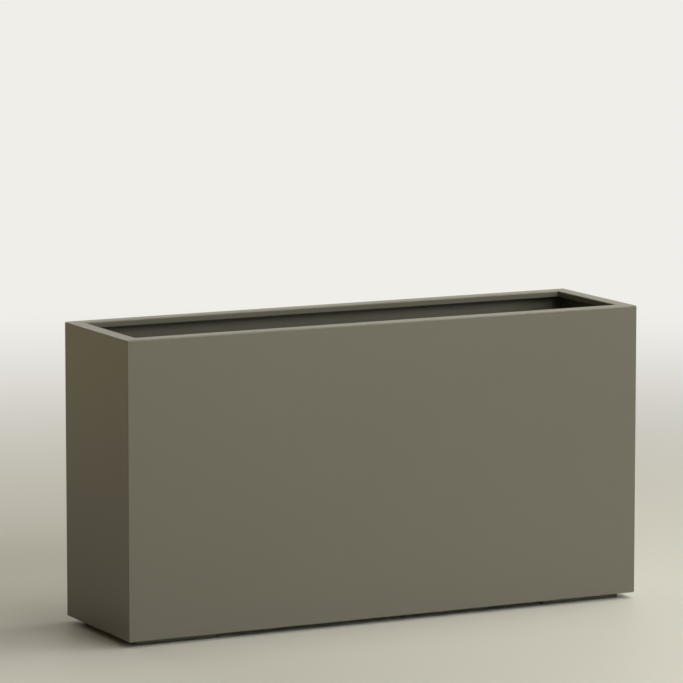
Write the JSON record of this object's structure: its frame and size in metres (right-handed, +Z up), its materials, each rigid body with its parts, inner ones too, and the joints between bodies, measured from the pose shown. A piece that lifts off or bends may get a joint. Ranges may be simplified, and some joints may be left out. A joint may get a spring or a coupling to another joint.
{
  "type": "rectangular planter",
  "caption": "Tall narrow trough planter of folded sheet metal with a flat mitred rim, a lift-out shelf, plugged drain holes and low rubber feet.",
  "frame": {"origin": "on the floor, under the middle of the planter", "axes": "+X along the length to the right, +Y from the front face to the back, +Z up"},
  "size_m": [1.143, 0.305, 0.61],
  "materials": {
    "body_coat": "matte olive-grey powder coat with a fine texture",
    "zinc_sheet": "hot-dip galvanised, dull grey with a faint spangle",
    "plated_fasteners": "bright zinc plate",
    "foot_rubber": "matte moulded rubber",
    "plug_rubber": "smooth moulded rubber"
  },
  "bodies": {
    "planter_body": {"front_panel": "body_coat", "back_panel": "body_coat", "left_end_panel": "body_coat", "right_end_panel": "body_coat", "front_left_corner_angle": "body_coat", "front_right_corner_angle": "body_coat", "back_left_corner_angle": "body_coat", "back_right_corner_angle": "body_coat", "base_pan": "body_coat", "front_left_brace_bracket": "body_coat", "front_right_brace_bracket": "body_coat", "back_left_brace_bracket": "body_coat", "back_right_brace_bracket": "body_coat", "left_cross_brace": "zinc_sheet", "right_cross_brace": "zinc_sheet", "brace_bolts": "plated_fasteners", "brace_nuts": "plated_fasteners", "foot_screws": "plated_fasteners", "foot_cap_nuts": "plated_fasteners", "left_foot": "foot_rubber", "right_foot": "foot_rubber"},
    "shelf": {"planting_shelf": "zinc_sheet"},
    "left_plug": {"left_drain_plug": "plug_rubber"},
    "middle_plug": {"middle_drain_plug": "plug_rubber"},
    "right_plug": {"right_drain_plug": "plug_rubber"}
  },
  "joints": [
    {"name": "shelf_lift", "type": "slide", "parent": "planter_body", "child": "shelf", "axis": [0, 0, 1], "range_m": [0, 0.32]},
    {"name": "left_plug_pull", "type": "slide", "parent": "planter_body", "child": "left_plug", "axis": [0, 0, 1], "range_m": [0, 0.03]},
    {"name": "middle_plug_pull", "type": "slide", "parent": "planter_body", "child": "middle_plug", "axis": [0, 0, 1], "range_m": [0, 0.03]},
    {"name": "right_plug_pull", "type": "slide", "parent": "planter_body", "child": "right_plug", "axis": [0, 0, 1], "range_m": [0, 0.03]}
  ]
}
